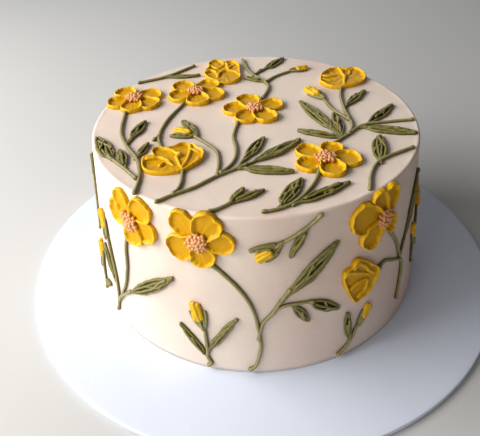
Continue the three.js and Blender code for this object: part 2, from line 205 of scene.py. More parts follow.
@dataclass(frozen=True)
class IcingFinish:
    """Smooth pale buttercream, scraped round the wall, with faint warm and pink clouds."""

    cream: Colour = (0.80, 0.69, 0.60)
    blush: Colour = (0.77, 0.62, 0.54)
    pale: Colour = (0.85, 0.76, 0.68)
    cloud: float = 14.0
    roughness: float = 0.52

    def material(self) -> bpy.types.Material:
        """Returns the icing's material."""
        graph = Graph("icing")
        clouds = graph.ramp(graph.speckle(self.cloud, 3.0), 0.35, 0.68)
        patches = graph.ramp(graph.speckle(self.cloud * 3.1, 4.0), 0.5, 0.8)
        colour = graph.mix(patches * 0.45, graph.mix(clouds, self.cream, self.blush), self.pale)
        scrape = graph.speckle(60.0, 3.0, vector=graph.place((1, 1, 9)))
        pores = graph.ramp(graph.speckle(900.0, 2.0), 0.62, 0.8)
        normal = graph.grain(scrape, 0.00025)
        normal = graph.grain(pores * -1.0 + graph.speckle(420.0, 3.0) * 0.6, 0.00006, normal)
        rough = graph.speckle(90.0, 3.0) * 0.16 + (self.roughness - 0.08)
        return graph.finish(Base_Color=colour, Roughness=rough, Normal=normal, Subsurface_Weight=0.12,
                            Subsurface_Radius=(1.0, 0.6, 0.4), Subsurface_Scale=0.004,
                            Specular_IOR_Level=0.35)


@dataclass(frozen=True)
class PipedFinish:
    """Coloured buttercream, with painted shade in its hollows and a painted highlight on its crests, both placed by
    the relief attribute.
    """

    name: str
    # The first three colours run from painted shade in the hollows, through the middle colour, to a painted highlight
    # on the crests.
    shaded_hollow: Colour
    middle: Colour
    light: Colour
    fleck: Colour
    grain: float = 0.0001
    roughness: float = 0.42
    depth: float = 0.15
    shine: float = 0.35

    def material(self) -> bpy.types.Material:
        """Returns the piping's material."""
        graph = Graph(self.name)
        relief = graph.relief()
        cloud = graph.speckle(130.0, 3.0)
        # Painted shade and highlight: low relief takes the hollow shade colour and high relief the light crest colour.
        rise = graph.ramp(relief + (cloud - 0.5) * 0.5, 0.05, 0.6)
        crest = graph.ramp(relief + (graph.speckle(320.0, 3.0) - 0.5) * 0.5, 0.55, 1.05)
        colour = graph.mix(crest, graph.mix(rise, self.shaded_hollow, self.middle), self.light)
        flecks = graph.ramp(graph.speckle(620.0, 3.0), 0.6, 0.75)
        colour = graph.mix(flecks * 0.35, colour, self.fleck)
        fine = graph.speckle(700.0, 4.0, 0.6)
        coarse = graph.speckle(240.0, 3.0)
        normal = graph.grain(fine * 0.5 + coarse, self.grain * 2.2)
        rough = graph.speckle(260.0, 3.0) * 0.2 + (self.roughness - 0.1)
        return graph.finish(Base_Color=colour, Roughness=rough, Normal=normal, Subsurface_Weight=self.depth,
                            Subsurface_Radius=(1.0, 0.6, 0.2), Subsurface_Scale=0.0015,
                            Specular_IOR_Level=self.shine)


@dataclass(frozen=True)
class BoardFinish:
    """White laminated card with a faint satin sheen, a few scuffs and a grain that only shows close up."""

    white: Colour = (0.71, 0.785, 0.93)
    grey: Colour = (0.67, 0.745, 0.89)

    def material(self) -> bpy.types.Material:
        """Returns the board's material."""
        graph = Graph("board")
        haze = graph.ramp(graph.speckle(9.0, 3.0), 0.35, 0.75)
        scuffs = graph.ramp(graph.speckle(70.0, 4.0, vector=graph.place((3.0, 0.6, 1))), 0.66, 0.78)
        colour = graph.mix(scuffs * 0.3, graph.mix(haze, self.white, self.grey), (0.86, 0.88, 0.92))
        rough = graph.speckle(30.0, 4.0) * 0.2 + 0.3
        normal = graph.grain(graph.speckle(1400.0, 2.0), 0.00002,
                             graph.grain(graph.speckle(18.0, 2.0), 0.0004))
        return graph.finish(Base_Color=colour, Roughness=rough + scuffs * 0.1, Normal=normal,
                            Specular_IOR_Level=0.45)


@dataclass(frozen=True)
class FloorFinish:
    """A plain pale matt floor."""

    colour: Colour = (0.60, 0.612, 0.617)

    def material(self) -> bpy.types.Material:
        """Returns the floor's material."""
        graph = Graph("floor")
        shade = graph.mix(graph.speckle(3.0, 2.0), self.colour, tuple(0.96 * c for c in self.colour))
        return graph.finish(Base_Color=shade, Roughness=0.85)


# Each finish runs from painted shade in its hollows to a painted highlight on its crests; its last colour is for
# random flecks.
PETAL = PipedFinish("petal", (0.66, 0.345, 0.0005), (0.74, 0.425, 0.001), (0.77, 0.465, 0.015),
                    (0.79, 0.49, 0.03), shine=0.22)
CENTRE = PipedFinish("centre", (0.46, 0.165, 0.045), (0.62, 0.265, 0.09), (0.78, 0.405, 0.18),
                     (0.80, 0.45, 0.24), roughness=0.5)
GREEN = PipedFinish("green", (0.033, 0.026, 0.001), (0.142, 0.125, 0.016), (0.30, 0.268, 0.11),
                    (0.31, 0.285, 0.14), roughness=0.38, depth=0.05, shine=0.36)


def unevenness(x: np.ndarray | float, seed: float, scale: float) -> np.ndarray:
    """Returns smooth repeatable values between about -1 and 1.

    Args:
        x: Places along a line, in the same unit as scale.
        seed: Tells one line from another.
        scale: The distance between bumps.
    """
    spots = np.atleast_1d(x) / scale
    return np.array([1.6 * noise.noise(Vector((float(s), seed * 1.37, seed * 0.71))) for s in spots])


def distances(line: np.ndarray) -> np.ndarray:
    """Returns how far along a line of places each one is."""
    return np.concatenate([[0], np.cumsum(np.hypot(*np.diff(line, axis=0).T))])


def through(knots: np.ndarray) -> np.ndarray:
    """Returns a smooth run of places from the second knot to the last but one, which the outermost two only steer."""
    t = np.linspace(0, 1, 24, endpoint=False)[:, None]
    return np.vstack([0.5 * (2 * b + (c - a) * t + (2 * a - 5 * b + 4 * c - d) * t**2 + (3 * b - a - 3 * c + d) * t**3)
                      for a, b, c, d in zip(knots, knots[1:], knots[2:], knots[3:])])


@dataclass(frozen=True)
class Skin:
    """The outer surface of the icing, on which everything is piped."""

    centre: Spot = (-2.8, 4.5)
    base: float = 3.3
    radius: float = 100.0
    foot_radius: float = 104.5
    height: float = 105.0

    def places(self, face: Face, spots: np.ndarray) -> np.ndarray:
        """Turns places on the icing into points of the scene.

        Args:
            face: The top or the wall.
            spots: One row of across, up and height for each place, in millimetres.

        Returns:
            One row of x, y, z for each place, in metres.
        """
        u, v, h = spots[:, 0], spots[:, 1], spots[:, 2]
        if face is Face.TOP:
            x, y, z = u, v, self.height + h
        else:
            reach = self.radius + (self.foot_radius - self.radius) * (1 - v / self.height) + h
            turn = u / self.radius
            x, y, z = reach * np.sin(turn), -reach * np.cos(turn), v
        return np.column_stack([x + self.centre[0], y + self.centre[1], z + self.base]) * MM


SKIN = Skin()


@dataclass
class Piping:
    """Gathers closed bodies of piped buttercream into one mesh."""

    face: Face
    points: list[np.ndarray] = field(default_factory=list)
    relief: list[np.ndarray] = field(default_factory=list)
    faces: list[tuple[int, ...]] = field(default_factory=list)
    count: int = 0

    def add(self, spots: np.ndarray, faces: Sequence[tuple[int, ...]], relief: np.ndarray) -> None:
        """Adds one body.

        Args:
            spots: Its corners, as places on the icing.
            faces: Its faces, by corner.
            relief: How far up its own relief each corner is, from 0 to 1, which sets its painted shade or highlight.
        """
        self.points.append(SKIN.places(self.face, spots))
        self.relief.append(relief)
        self.faces.extend(tuple(corner + self.count for corner in f) for f in faces)
        self.count += len(spots)

    def build(self, name: str, material: bpy.types.Material) -> bpy.types.Object:
        """Makes the object.

        Args:
            name: The piece's name.
            material: Its finish.

        Returns:
            The new object, in the scene and smooth.
        """
        return solid(name, np.vstack(self.points), self.faces, material, np.concatenate(self.relief))


def solid(name: str, points: np.ndarray, faces: Sequence[tuple[int, ...]], material: bpy.types.Material,
          relief: np.ndarray | None = None) -> bpy.types.Object:
    """Makes a smooth mesh object.

    Args:
        name: The piece's name.
        points: Its corners in metres.
        faces: Its faces, by corner.
        material: Its finish.
        relief: A value for each corner, kept on the mesh for the finish's painted shade and highlight.

    Returns:
        The new object.
    """
    mesh = bpy.data.meshes.new(name)
    mesh.from_pydata(points.tolist(), [], list(faces))
    mesh.materials.append(material)
    mesh.polygons.foreach_set("use_smooth", [True] * len(mesh.polygons))
    if relief is not None:
        layer = mesh.attributes.new("relief", "FLOAT", "POINT")
        layer.data.foreach_set("value", relief.astype(np.float32))
    mesh.update()
    piece = bpy.data.objects.new(name, mesh)
    bpy.context.scene.collection.objects.link(piece)
    return piece


def ring_faces(rings: int, sides: int, closed: bool = False) -> list[tuple[int, ...]]:
    """Returns the faces of a tube of rings whose ends close to the two corners after the last ring.

    Args:
        rings: How many rings there are, one after the other.
        sides: How many corners a ring has.
        closed: Whether the far end closes too.
    """
    faces: list[tuple[int, ...]] = []
    for i in range(rings - 1):
        for j in range(sides):
            k = (j + 1) % sides
            faces.append((i * sides + j, i * sides + k, (i + 1) * sides + k, (i + 1) * sides + j))
    for j in range(sides):
        k = (j + 1) % sides
        faces.append((rings * sides, k, j))
        if closed:
            faces.append((rings * sides + 1, (rings - 1) * sides + j, (rings - 1) * sides + k))
    return faces


@dataclass(frozen=True)
class Stroke:
    """One line of buttercream squeezed from a round nozzle: a tube pressed on the icing, with blunt ends."""

    route: Sequence[Spot]
    width: float
    taper: Spot = (1.0, 1.0)
    belly: float = 0.0
    knob: float = 0.0
    rest: float = 0.8
    lift: float = 0.0
    wobble: float = 0.1
    lumps: float = 0.05
    sides: int = 10
    step: float = 0.8
    # How strongly the painted highlight shows on the tube's top.
    painted_top_light: float = 1.1

    def line(self) -> np.ndarray:
        """Returns the stroke's middle line as a smooth run of places."""
        knots = np.array([self.route[0], *self.route, self.route[-1]], dtype=float)
        knots[0] += knots[1] - knots[2]
        knots[-1] += knots[-2] - knots[-3]
        smooth = np.vstack([through(knots), knots[-2]])
        gone = distances(smooth)
        stops = np.linspace(0, gone[-1], max(5, int(gone[-1] / self.step)))
        return np.column_stack([np.interp(stops, gone, smooth[:, k]) for k in (0, 1)])

    def pipe(self, sheet: Piping, seed: float, clear: "Flowers | None" = None) -> None:
        """Adds the stroke to a sheet of piping.

        Args:
            sheet: What it is added to.
            seed: Tells its unevenness from that of other strokes.
            clear: Flowers under whose petals it stops.
        """
        middle = self.line()
        if clear is not None:
            middle = clear.trimmed(sheet.face, middle)
        gone = distances(middle)
        share = gone / gone[-1]
        radius = 0.5 * self.width * (self.taper[0] + (self.taper[1] - self.taper[0]) * share)
        radius = radius * (1 + self.belly * np.sin(math.pi * share))
        radius = radius * (1 + self.lumps * (unevenness(gone, seed, 2.6) + unevenness(gone, seed + 9, 7.0)))
        for end in (gone, gone[-1] - gone):
            radius = radius * (1 + self.knob * np.exp(-((end - 0.5) / 1.2) ** 2))
        way = np.gradient(middle, axis=0)
        way /= np.hypot(*way.T)[:, None]
        aside = np.column_stack([-way[:, 1], way[:, 0]])
        middle = middle + aside * (self.wobble * unevenness(gone, seed + 4, 5.5))[:, None]
        bend = np.radians([80, 55, 28])
        middle = np.vstack([middle[0] - np.outer(np.sin(bend), way[0]) * radius[0], middle,
                            middle[-1] + np.outer(np.sin(bend[::-1]), way[-1]) * radius[-1]])
        aside = np.vstack([*[aside[:1]] * 3, aside, *[aside[-1:]] * 3])
        full = np.concatenate([[radius[0]] * 3, radius, [radius[-1]] * 3])
        radius = np.concatenate([radius[0] * np.cos(bend), radius, radius[-1] * np.cos(bend[::-1])])
        turn = 2 * math.pi * np.arange(self.sides) / self.sides
        flat = middle[:, None, :] + aside[:, None, :] * (radius[:, None] * np.cos(turn))[:, :, None]
        height = np.maximum(self.lift + (self.rest * full)[:, None] + radius[:, None] * np.sin(turn), UNDER)
        poles = [[*middle[k], self.rest * full[k] + self.lift] for k in (0, -1)]
        # Painted light: the top of the tube takes the painted highlight colour and its underside the painted shade
        # colour.
        relief = self.painted_top_light * np.tile(0.5 + 0.5 * np.sin(turn), len(middle))
        sheet.add(np.vstack([np.concatenate([flat, height[:, :, None]], axis=2).reshape(-1, 3), poles]),
                  ring_faces(len(middle), self.sides, closed=True), np.concatenate([relief, [0.6, 0.6]]))


@dataclass(frozen=True)
class Leaf:
    """A leaf drawn with thin strands that run side by side and on top of each other over a low sheet in the painted
    shade colour, which shows as dark shade in the gaps.
    """

    base: Spot
    tip: Spot
    width: float
    neck: float = 0.1
    strand: float = 1.75

    def _route(self, share: np.ndarray, side: np.ndarray | float, bow: float) -> np.ndarray:
        """Returns places along the leaf.

        Args:
            share: How far each is from base to tip.
            side: How far each is from the middle, as a share of the half width.
            bow: How far the leaf's middle bends aside.
        """
        along = np.array(self.tip, dtype=float) - self.base
        way = along / np.hypot(*along)
        blade = np.clip((share - self.neck) / (1 - self.neck), 0, 1)
        spread = np.sin(math.pi * blade**0.85) ** 0.75 + 0.12 * (blade <= 0)
        across = side * (self.width - self.strand) / 2 * spread + bow * np.sin(math.pi * share)
        return self.base + np.outer(share, along) + np.outer(across, [-way[1], way[0]])

    def pipe(self, sheet: Piping, seed: float) -> None:
        """Adds the leaf to a sheet of piping."""
        bow = 0.8 * float(unevenness(seed, 3.0, 1.7)[0])
        inside = np.concatenate([np.linspace(0.03, 0.97, 14), np.linspace(0.97, 0.03, 14)])
        edge = self._route(inside, np.repeat([-1.0, 1.0], 14), bow)
        middle = self._route(np.array([0.5]), 0.0, bow)[0]
        heart = self._route(inside, 0.0, bow)
        # A low sheet under the strands with relief 0, so it takes the darkest colour: painted shade in the gaps
        # between strands.
        rows = [np.column_stack([heart + (edge - heart) * far, np.full(28, high)])
                for far, high in ((1.0, UNDER), (0.98, 0.5), (0.5, 0.75))]
        sheet.add(np.vstack([*rows, [*middle, UNDER], [*middle, 0.8]]), ring_faces(3, 28, closed=True),
                  np.zeros(86))
        count = max(3, round(self.width / 2.2))
        for k in range(count):
            side = 2 * k / (count - 1) - 1
            luck = [float(v) for v in unevenness(np.array([1.3, 4.7, 9.1, 13.9]) + 6.1 * k, seed, 1.0)]
            inner = 1 - abs(side)
            start = 0.01 + (self.neck + 0.2 * abs(luck[0])) * inner
            share = np.linspace(start, max(1.0 - (0.05 + 0.35 * inner) * abs(luck[1]) - 0.02 * inner,
                start + 0.35), 9)
            drift = side + (0.15 + 0.4 * inner) * luck[2] * np.linspace(-1, 1,
                9) * inner + 0.12 * luck[3] * np.sin(np.linspace(0, 7, 9))
            Stroke([tuple(p) for p in self._route(share, drift, bow)], self.strand * (1 + 0.16 * luck[3]),
                   taper=(0.8, 0.95 + 0.25 * luck[1]),
                   belly=0.16, knob=0.22, rest=0.75, lift=0.1 + (0.5 + 0.6 * luck[0]) * inner, wobble=0.34,
                   lumps=0.13, sides=8,
                   step=0.9, painted_top_light=0.8).pipe(sheet, seed + k * 1.9)
        self._dab(sheet, bow, seed)

    def _dab(self, sheet: Piping, bow: float, seed: float) -> None:
        """Adds the short slack strokes that were laid over the strands towards the leaf's blunt tip."""
        for k in range(1 + (self.width > 6)):
            luck = [float(v) for v in unevenness(np.array([2.1, 7.7, 11.3]) + 4.3 * k, seed + 50, 1.0)]
            middle = 0.62 + 0.22 * luck[0]
            half = 0.14 + 0.05 * luck[1]
            share = np.linspace(middle - half, min(middle + half, 0.97), 6)
            drift = 0.7 * luck[2] + (0.55 if k % 2 else -0.55) * np.linspace(-1, 1, 6)
            Stroke([tuple(p) for p in self._route(share, np.clip(drift, -0.85, 0.85), bow)],
                   self.strand * 0.95, taper=(0.7, 0.9),
                   belly=0.12, knob=0.1, rest=0.75, lift=1.0 + 0.3 * luck[1], wobble=0.3, lumps=0.14, sides=8,
                   step=0.9, painted_top_light=0.9).pipe(sheet, seed + 70 + k)


@dataclass(frozen=True)
class Bud:
    """A bud: short yellow strokes side by side, which stand in green sepals."""

    foot: Spot
    tip: Spot
    width: float = 5.6
    sepals: Sequence[float] = (0.6, 0.6)
    open: float = 1.0

    def _stroke(self, share: Spot, side: float, width: float, **look: float) -> Stroke:
        """Returns a stroke along the bud, set off to one side."""
        along = np.array(self.tip, dtype=float) - self.foot
        way = along / np.hypot(*along)
        t = np.linspace(*share, 6)
        swell = np.sin(math.pi * np.clip(0.04 + 0.62 * t, 0, 1)) ** 0.8
        spots = self.foot + np.outer(t, along) + np.outer(side * swell * self.width / 2, [-way[1], way[0]])
        return Stroke([tuple(p) for p in spots], width, **look)

    def pipe_petals(self, sheet: Piping, seed: float) -> None:
        """Adds the yellow strokes."""
        thick = self.width * 0.46
        for k, side in enumerate((-0.5, 0.5)):
            self._stroke((0.42, 0.86 + 0.05 * k), side, thick, taper=(1.0, 0.85), rest=0.85,
                         lumps=0.12).pipe(sheet, seed + k)
        self._stroke((0.38, 0.92), 0.0, thick, taper=(1.0, 0.85), lift=0.6, lumps=0.12).pipe(sheet, seed + 7)

    def pipe_sepals(self, sheet: Piping, seed: float) -> None:
        """Adds the green strokes, which hold the foot of the yellow ones."""
        for k, (side, far) in enumerate(zip((-1.0, 1.0), self.sepals)):
            self._stroke((-0.03, far), side * self.open, 2.0, belly=0.15, taper=(0.9, 0.7),
                         lift=0.3).pipe(sheet, seed + k)
            self._stroke((0.02, 0.75 * far), side * 0.62 * self.open, 1.6, belly=0.1, taper=(0.9, 0.7),
                         lift=0.9).pipe(sheet, seed + 3 + k)
        if self.sepals:
            self._stroke((-0.02, 0.42), 0.0, 1.9, belly=0.3, taper=(0.9, 0.6), lift=1.3).pipe(sheet, seed + 5)


@dataclass(frozen=True)
class Petal:
    """One petal: an egg-shaped or drawn patch that was outlined with a line of icing, brushed in towards its foot."""

    foot: Spot
    direction: float
    length: float
    left: float
    right: float
    order: float
    seed: float
    crest: float = 2.45
    floor: float = 0.7
    around: int = 110
    edge: Sequence[Spot] = ()

    RIM = ((0.06, 0.35), (0.22, 0.78), (0.5, 0.98), (0.82, 1.0), (1.15, 0.84), (1.5, 0.5), (1.85, 0.18),
           (2.45, 0.0))
    INSIDE = (0.1, 0.22, 0.36, 0.52, 0.7, 0.88)

    def _aim(self, x: np.ndarray, y: np.ndarray) -> np.ndarray:
        """Turns places along and to the left of the petal's middle line into places on the icing."""
        turn = math.radians(self.direction)
        return np.column_stack([x * math.cos(turn) - y * math.sin(turn),
                                x * math.sin(turn) + y * math.cos(turn)]) + self.foot

    def heart(self) -> np.ndarray:
        """Returns the middle of the patch."""
        if self.edge:
            return np.mean(self.edge, axis=0)
        return self._aim(np.array([0.56 * self.length]), np.zeros(1))[0]

    def outline(self) -> np.ndarray:
        """Returns the patch's uneven outline as places, counter-clockwise."""
        if self.edge:
            smooth = through(np.array([self.edge[-1], *self.edge, *self.edge[:2]], dtype=float))
            smooth = np.vstack([smooth, smooth[:1]])
            gone = distances(smooth)
            stops = np.linspace(0, gone[-1], self.around, endpoint=False)
            return np.column_stack([np.interp(stops, gone, smooth[:, k]) for k in (0, 1)])
        angle = np.linspace(0, 2 * math.pi, self.around, endpoint=False)
        swell = np.sin(angle) * (1 - 0.3 * np.cos(angle)) / 1.05
        spots = self._aim(self.length * (1 - np.cos(angle)) / 2,
                          -swell * np.where(swell > 0, self.right, self.left))
        out = spots - self.heart()
        bumps = np.array([noise.noise(Vector((1.5 * math.cos(a), 1.5 * math.sin(a), self.seed))) +
                          0.5 * noise.noise(Vector((4.5 * math.cos(a), 4.5 * math.sin(a), self.seed + 5))) +
                          0.1 * noise.noise(Vector((9 * math.cos(a), 9 * math.sin(a),
                              self.seed + 8))) for a in angle])
        return self.heart() + out * (1 + 0.09 * bumps)[:, None]

    def depth(self, spots: np.ndarray) -> np.ndarray:
        """Returns how far inside the outline each place is, in millimetres, below 0 outside."""
        ring = self.outline() - self.heart()
        angle = np.arctan2(ring[:, 1], ring[:, 0])
        order = np.argsort(angle)
        angle, reach = angle[order], np.hypot(*ring.T)[order]
        away = spots - self.heart()
        here = np.arctan2(away[:, 1], away[:, 0])
        limit = np.interp(here, np.concatenate([angle - 2 * math.pi, angle, angle + 2 * math.pi]),
                          np.tile(reach, 3))
        return limit - np.hypot(*away.T)

    def _streaks(self, flat: np.ndarray) -> np.ndarray:
        """Returns the brush marks, which fan out from the foot."""
        away = flat - self.foot
        reach = np.hypot(*away.T)
        turn = np.arctan2(away[:, 1], away[:, 0])
        return np.array([noise.noise(Vector((r * 0.10, 7.5 * math.cos(a), 7.5 * math.sin(a) + self.seed))) +
                         0.5 * noise.noise(Vector((r * 0.3, 3.0 * math.cos(a) - self.seed,
                             3.0 * math.sin(a))))
                         for r, a in zip(reach, turn)])

    def pipe(self, sheet: Piping, above: Sequence["Petal"]) -> None:
        """Adds the petal to a sheet of piping.

        Args:
            sheet: What it is added to.
            above: The petals that lie over it, under which it is pressed flat.
        """
        ring, heart = self.outline(), self.heart()
        ray = heart - ring
        reach = np.hypot(*ray.T)
        step = np.arange(self.around)
        wide = 1 + 0.28 * unevenness(step, self.seed + 2, 11.0)
        drag = 1 + 0.42 * unevenness(step, self.seed + 8, 7.5)
        tall = self.crest * (1 + 0.15 * unevenness(step, self.seed + 3, 12.0) + 0.04 * unevenness(step,
            self.seed + 6, 5.0))
        rows, level = [ring], [np.full(self.around, UNDER)]
        for k, (inward, rise) in enumerate(self.RIM):
            share = np.minimum(inward * wide * (drag if k > 3 else 1) / reach, 0.62)
            rows.append(ring + ray * share[:, None])
            level.append(rise * tall if k == 0 else self.floor + rise * (tall - self.floor))
        for inner in self.INSIDE:
            rows.append(ring + ray * (share + (1 - share) * inner)[:, None])
            level.append(np.full(self.around, self.floor))
        flat = np.vstack([*rows[1:], heart[None, :]])
        height = np.concatenate([*level[1:], [self.floor]])
        # Painted shade on the patch's floor (low relief) and a painted highlight on its rim's crest (relief 1).
        relief = np.clip(0.12 + 0.88 * (height - self.floor) / (self.crest - self.floor), 0, 1)
        height = np.maximum(height + (0.6 if self.edge else 0.28) * self._streaks(flat) + 0.22 * self.order,
                            0.45)
        for other in above:
            under = np.clip(other.depth(flat) / 0.8, 0, 1)
            height += (np.minimum(height, 0.8) - height) * under
        skirt = np.column_stack([ring, level[0]])
        top = np.column_stack([flat, height])
        sheet.add(np.vstack([skirt, top[:-1], [*heart, UNDER], top[-1]]),
                  ring_faces(len(rows), self.around, closed=True),
                  np.concatenate([np.zeros(self.around), relief[:-1], [0, relief[-1]]]))


@dataclass(frozen=True)
class Flower:
    """An open flower round a cluster of dots, or a half-open one, a fan of petals or one patch with ridges and curls.

    A petal is its direction, its length and perhaps its half width, the ones on top last.
    """

    name: str
    face: Face
    at: Spot
    petals: Sequence[tuple[float, ...]]
    fan: Sequence[tuple[Spot, float, float, float]] = ()
    curls: Sequence[Sequence[Spot]] = ()
    edge: Sequence[Spot] = ()

    @property
    def seed(self) -> float:
        """Tells this flower's unevenness from that of the others."""
        return self.at[0] * 0.31 + self.at[1] * 0.17

    def built_petals(self) -> list[Petal]:
        """Returns the flower's petals, those on top last."""
        if self.edge:
            return [Petal(self.at, 0, 0, 0, 0, 0.5, self.seed, crest=2.6, floor=1.0, around=170,
                          edge=self.edge)]
        if self.fan:
            return [Petal(foot, direction, length, width, width, k * 0.7, self.seed + 3.1 * k)
                    for k, (foot, direction, length, width) in enumerate(self.fan)]
        built = []
        for k, (direction, length, *wide) in enumerate(self.petals):
            half = wide[0] if wide else 0.42 * length * (1 + 0.08 * float(unevenness(k * 3.3, self.seed,
                1.0)[0]))
            built.append(Petal(self.at, direction, length + 0.4, half, half * 0.96, 0.6 * k,
                               self.seed + 2.7 * k))
        return built

    def covers(self, spots: np.ndarray, margin: float) -> np.ndarray:
        """Says which places lie more than margin millimetres inside the flower's outline."""
        return np.any([petal.depth(spots) > margin for petal in self.built_petals()], axis=0)

    def pipe(self, sheet: Piping) -> None:
        """Adds all petals and curls to a sheet of piping."""
        petals = self.built_petals()
        for k, petal in enumerate(petals):
            petal.pipe(sheet, petals[k + 1:])
        for k, curl in enumerate(self.curls):
            Stroke(curl, 2.5, taper=(1.0, 0.62), belly=0.1, rest=0.6, lift=0.75, wobble=0.4,
                   lumps=0.14).pipe(sheet, self.seed + 40 + k)

    def pipe_centre(self, sheet: Piping) -> None:
        """Adds the cluster of small dots in the middle of an open flower."""
        for k in range(DOT_COUNT):
            away = DOT_SPREAD * math.sqrt((k + 0.4) / DOT_COUNT)
            turn = k * GOLDEN_TURN + self.seed
            jitter = float(unevenness(k * 1.9, self.seed, 1.0)[0])
            spot = np.array(self.at) + (away + 0.5 * jitter) * np.array([math.cos(turn), math.sin(turn)])
            self._dot(sheet, spot, 1.12 + 0.16 * jitter, 1.4 + 1.6 * (1 - (away / 6.4) ** 2), self.seed + k)

    @staticmethod
    def _dot(sheet: Piping, spot: np.ndarray, radius: float, base: float, seed: float) -> None:
        """Adds one dot: a round bead drawn up to a soft point that leans a little."""
        sides = 9
        turn = 2 * math.pi * np.arange(sides) / sides
        lean = 0.35 * np.array([math.cos(seed * 5.1), math.sin(seed * 5.1)])
        rows = []
        for reach, rise in ((0.6, -0.9), (1.0, 0.0), (1.0, 0.5), (0.88, 0.95), (0.6, 1.3), (0.3, 1.45)):
            middle = spot + lean * max(rise, 0)
            rows.append(np.column_stack([middle[0] + radius * reach * np.cos(turn),
                middle[1] + radius * reach * np.sin(turn),
                                         np.full(sides, base + radius * rise)]))
        ends = [[*spot, base - radius], [*(spot + lean * 1.5), base + radius * 1.5]]
        # Painted shade low between the dots and a painted highlight on their tips, by relief from bottom to top.
        sheet.add(np.vstack([*rows, ends]), ring_faces(len(rows), sides, closed=True),
                  np.concatenate([np.repeat([0.0, 0.15, 0.45, 0.75, 0.95, 1.0], sides), [0, 1]]))


@dataclass(frozen=True)
class Flowers:
    """All flowers on the cake."""

    each: Sequence[Flower]

    def trimmed(self, face: Face, line: np.ndarray) -> np.ndarray:
        """Cuts a stem's ends off where they run under a flower.

        Args:
            face: Where the stem lies.
            line: The places that it runs through.

        Returns:
            The part of the line that shows, with a little of it under the petals' rims.
        """
        hidden = np.zeros(len(line), dtype=bool)
        for flower in self.each:
            if flower.face is face and np.min(np.hypot(*(line - flower.at).T)) < FLOWER_REACH:
                hidden |= flower.covers(line, HIDDEN_MARGIN)
        free = np.flatnonzero(~hidden)
        return line[free[0]: free[-1] + 1]

    def dress(self, petal: bpy.types.Material, centre: bpy.types.Material) -> None:
        """Builds every flower and its centre and reports them.

        Args:
            petal: The petals' finish.
            centre: The dots' finish.
        """
        for flower in self.each:
            sheet = Piping(flower.face)
            flower.pipe(sheet)
            place(sheet.build(f"petals_{flower.name}", petal), "petal", f"flower_{flower.name}")
            if not (flower.fan or flower.edge):
                dots = Piping(flower.face)
                flower.pipe_centre(dots)
                place(dots.build(f"dots_{flower.name}", centre), "centre", f"centre_{flower.name}")


def place(piece: bpy.types.Object, slot: str, *nodes: str) -> None:
    """Fixes a piece to the part and reports it.

    Args:
        piece: The finished object.
        slot: The name of a material slot; not used.
        *nodes: The solids that it stands for.
    """
    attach(piece, "root")
    if nodes:
        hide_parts(*nodes)
    LOG.info("%s stands for %s with %d faces", piece.name, ", ".join(nodes), len(piece.data.polygons))


@dataclass(frozen=True)
class Spray:
    """A stem with its side stems, leaves and perhaps a bud, which can have leafy sepals of its own."""

    name: str
    face: Face
    stems: Sequence[Sequence[Spot]]
    leaves: Sequence[tuple] = ()
    bud: Bud | None = None
    sepals: Sequence[tuple[Spot, Spot, float]] = ()

    def dress(self, flowers: Flowers, green: bpy.types.Material, yellow: bpy.types.Material) -> None:
        """Builds the spray and reports it.

        Args:
            flowers: The flowers under which its stems stop.
            green: The finish of stems, leaves and sepals.
            yellow: The finish of the bud.
        """
        sheet = Piping(self.face)
        seed = self.stems[0][0][0] * 0.13 + self.stems[0][0][1] * 0.29
        for k, route in enumerate(self.stems):
            Stroke(route, 2.1 - 0.1 * (k > 0), taper=(1.0, 0.94), knob=0.25 + 0.15 * (k > 0)).pipe(sheet,
                seed + k * 2.1, flowers)
        for k, leaf in enumerate((*self.leaves, *self.sepals)):
            Leaf(*leaf).pipe(sheet, seed + 20 + k * 3.7)
        if self.bud:
            self.bud.pipe_sepals(sheet, seed + 50)
            petals = Piping(self.face)
            self.bud.pipe_petals(petals, seed + 60)
            place(petals.build(f"budtip_{self.name}", yellow), "petal", f"bud_{self.name}")
        place(sheet.build(f"piping_{self.name}", green), "green", f"spray_{self.name}")


@dataclass(frozen=True)
class IcedCake:
    """The cake's body under its smooth coat: a nearly straight wall and a flat top with a crisp edge."""

    skin: Skin = SKIN
    around: int = 360
    edge: float = 1.5

    def profile(self) -> list[tuple[float, float]]:
        """Returns the outline from the foot's middle up to the top's middle as (reach, height) pairs."""
        wall = [(self.skin.foot_radius - (self.skin.foot_radius - self.skin.radius) * t,
                 t * (self.skin.height - self.edge))
                for t in np.linspace(0, 1, 48)]
        bend = [(self.skin.radius - self.edge * (1 - math.cos(a)),
                 self.skin.height - self.edge * (1 - math.sin(a)))
                for a in np.radians([18, 36, 54, 72, 90])]
        top = [(self.skin.radius - self.edge - d, self.skin.height)
               for d in (0.8, 1.6, 2.6, 4, 6, 9, 13, 18, 24, 31, 39, 48, 58, 69, 80, 90, 97)]
        return [*wall, *bend, *top]

    def build(self, material: bpy.types.Material) -> None:
        """Makes the iced body.

        Args:
            material: The icing's finish.
        """
        turn = 2 * math.pi * np.arange(self.around) / self.around
        rows = []
        for reach, height in self.profile():
            rim = math.exp(-(((self.skin.radius - reach) - 1.4) / 1.3) ** 2) * (height > self.skin.height - self.edge - 0.1)
            drift = np.array([noise.noise(Vector((2.2 * math.cos(a) * reach / 100,
                2.2 * math.sin(a) * reach / 100, height / 45)))
                              for a in turn])
            ragged = np.array([noise.noise(Vector((9 * math.cos(a), 9 * math.sin(a), 4.0))) for a in turn])
            far = reach + 0.16 * drift + 0.10 * ragged * rim
            lift = height - 0.3 * (height <= 0) + (0.25 * rim * (0.6 + ragged)) + 0.10 * drift * (height >= self.skin.height)
            rows.append(np.column_stack([far * np.cos(turn), far * np.sin(turn), lift]))
        middle = [[0, 0, -0.3], [0, 0, self.skin.height]]
        points = np.vstack([*rows, middle]) + [self.skin.centre[0], self.skin.centre[1], self.skin.base]
        piece = solid("iced_cake", points * MM, ring_faces(len(rows), self.around, closed=True), material)
        place(piece, "icing", "cake")


